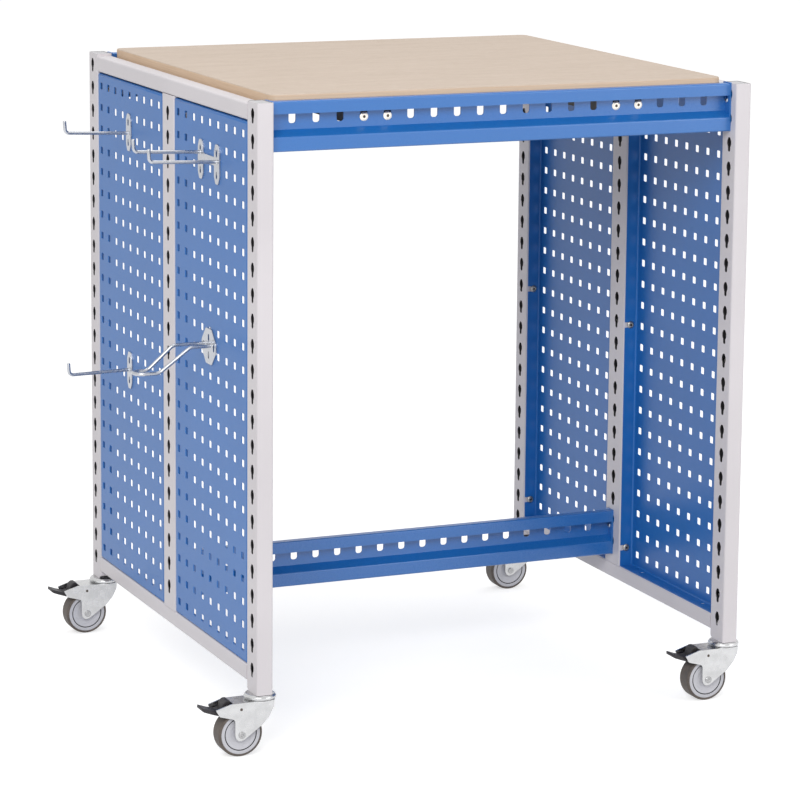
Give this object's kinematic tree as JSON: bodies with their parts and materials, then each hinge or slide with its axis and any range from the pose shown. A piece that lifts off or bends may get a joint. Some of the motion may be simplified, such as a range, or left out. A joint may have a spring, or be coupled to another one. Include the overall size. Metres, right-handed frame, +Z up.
{
  "type": "assembly table",
  "caption": "Mobile assembly table: perforated end panels with tool hooks, slotted cross beams, a wooden worktop and braked swivel casters.",
  "frame": {"origin": "on the floor, below the centre of the whole bounding box, hooks and casters included", "axes": "+X to the right along the cross beams (the hooks are on the -X end), +Y to the back, +Z up"},
  "size_m": [1.0234, 0.846, 1.0635],
  "materials": {
    "post_paint": "satin light grey powder coat",
    "blue_paint": "satin blue powder coat",
    "black_paint": "matt black powder coat",
    "zinc": "bright zinc plate",
    "bolt_steel": "zinc plate, satin",
    "grey_plastic": "matt grey",
    "board": "fine-grained board, clear sealed",
    "rim_plastic": "moulded light grey",
    "tyre_rubber": "warm grey tread, non-marking",
    "pedal_plastic": "moulded black"
  },
  "bodies": {
    "table": {"left_front_post": "post_paint", "left_middle_post": "post_paint", "left_rear_post": "post_paint", "left_top_rail": "post_paint", "left_bottom_rail": "post_paint", "left_front_panel": "blue_paint", "left_rear_panel": "blue_paint", "right_front_post": "post_paint", "right_middle_post": "post_paint", "right_rear_post": "post_paint", "right_top_rail": "post_paint", "right_bottom_rail": "post_paint", "right_front_panel": "blue_paint", "right_rear_panel": "blue_paint", "panel_screws": "zinc", "post_caps": "grey_plastic", "stem_sockets": "grey_plastic", "front_beam": "blue_paint", "rear_beam": "blue_paint", "lower_beam": "blue_paint", "beam_end_plates": "blue_paint", "beam_bolts": "zinc", "left_support_rail": "black_paint", "right_support_rail": "black_paint", "support_bolts": "bolt_steel", "worktop_screws": "zinc", "worktop": "board", "upper_single_hook": "zinc", "double_hook": "zinc", "loop_holder": "zinc", "lower_single_hook": "zinc", "left_front_caster_head": "zinc", "left_rear_caster_head": "zinc", "right_front_caster_head": "zinc", "right_rear_caster_head": "zinc"},
    "left_front_fork": {"left_front_caster_fork": "zinc", "left_front_wheel_axle": "zinc", "left_front_pedal_pin": "zinc"},
    "left_front_wheel": {"left_front_wheel_rim": "rim_plastic", "left_front_wheel_tyre": "tyre_rubber"},
    "left_front_pedal": {"left_front_brake_pedal": "pedal_plastic"},
    "left_rear_fork": {"left_rear_caster_fork": "zinc", "left_rear_wheel_axle": "zinc", "left_rear_pedal_pin": "zinc"},
    "left_rear_wheel": {"left_rear_wheel_rim": "rim_plastic", "left_rear_wheel_tyre": "tyre_rubber"},
    "left_rear_pedal": {"left_rear_brake_pedal": "pedal_plastic"},
    "right_front_fork": {"right_front_caster_fork": "zinc", "right_front_wheel_axle": "zinc", "right_front_pedal_pin": "zinc"},
    "right_front_wheel": {"right_front_wheel_rim": "rim_plastic", "right_front_wheel_tyre": "tyre_rubber"},
    "right_front_pedal": {"right_front_brake_pedal": "pedal_plastic"},
    "right_rear_fork": {"right_rear_caster_fork": "zinc", "right_rear_wheel_axle": "zinc", "right_rear_pedal_pin": "zinc"},
    "right_rear_wheel": {"right_rear_wheel_rim": "rim_plastic", "right_rear_wheel_tyre": "tyre_rubber"},
    "right_rear_pedal": {"right_rear_brake_pedal": "pedal_plastic"}
  },
  "joints": [
    {"name": "left_front_swivel", "type": "hinge", "parent": "table", "child": "left_front_fork", "pos_m": [-0.36175, -0.3965, 0.0916], "axis": [0, 0, 1], "continuous": true},
    {"name": "left_front_roll", "type": "hinge", "parent": "left_front_fork", "child": "left_front_wheel", "pos_m": [-0.39975, -0.3965, 0.0375], "axis": [0, 1, 0], "continuous": true},
    {"name": "left_front_brake", "type": "hinge", "parent": "left_front_fork", "child": "left_front_pedal", "pos_m": [-0.40075, -0.3965, 0.08], "axis": [0, -1, 0], "range_deg": [0, 15]},
    {"name": "left_rear_swivel", "type": "hinge", "parent": "table", "child": "left_rear_fork", "pos_m": [-0.36175, 0.3965, 0.0916], "axis": [0, 0, 1], "continuous": true},
    {"name": "left_rear_roll", "type": "hinge", "parent": "left_rear_fork", "child": "left_rear_wheel", "pos_m": [-0.39975, 0.3965, 0.0375], "axis": [0, 1, 0], "continuous": true},
    {"name": "left_rear_brake", "type": "hinge", "parent": "left_rear_fork", "child": "left_rear_pedal", "pos_m": [-0.40075, 0.3965, 0.08], "axis": [0, -1, 0], "range_deg": [0, 15]},
    {"name": "right_front_swivel", "type": "hinge", "parent": "table", "child": "right_front_fork", "pos_m": [0.48525, -0.3965, 0.0916], "axis": [0, 0, 1], "continuous": true},
    {"name": "right_front_roll", "type": "hinge", "parent": "right_front_fork", "child": "right_front_wheel", "pos_m": [0.44725, -0.3965, 0.0375], "axis": [0, 1, 0], "continuous": true},
    {"name": "right_front_brake", "type": "hinge", "parent": "right_front_fork", "child": "right_front_pedal", "pos_m": [0.44625, -0.3965, 0.08], "axis": [0, -1, 0], "range_deg": [0, 15]},
    {"name": "right_rear_swivel", "type": "hinge", "parent": "table", "child": "right_rear_fork", "pos_m": [0.48525, 0.3965, 0.0916], "axis": [0, 0, 1], "continuous": true},
    {"name": "right_rear_roll", "type": "hinge", "parent": "right_rear_fork", "child": "right_rear_wheel", "pos_m": [0.44725, 0.3965, 0.0375], "axis": [0, 1, 0], "continuous": true},
    {"name": "right_rear_brake", "type": "hinge", "parent": "right_rear_fork", "child": "right_rear_pedal", "pos_m": [0.44625, 0.3965, 0.08], "axis": [0, -1, 0], "range_deg": [0, 15]}
  ]
}
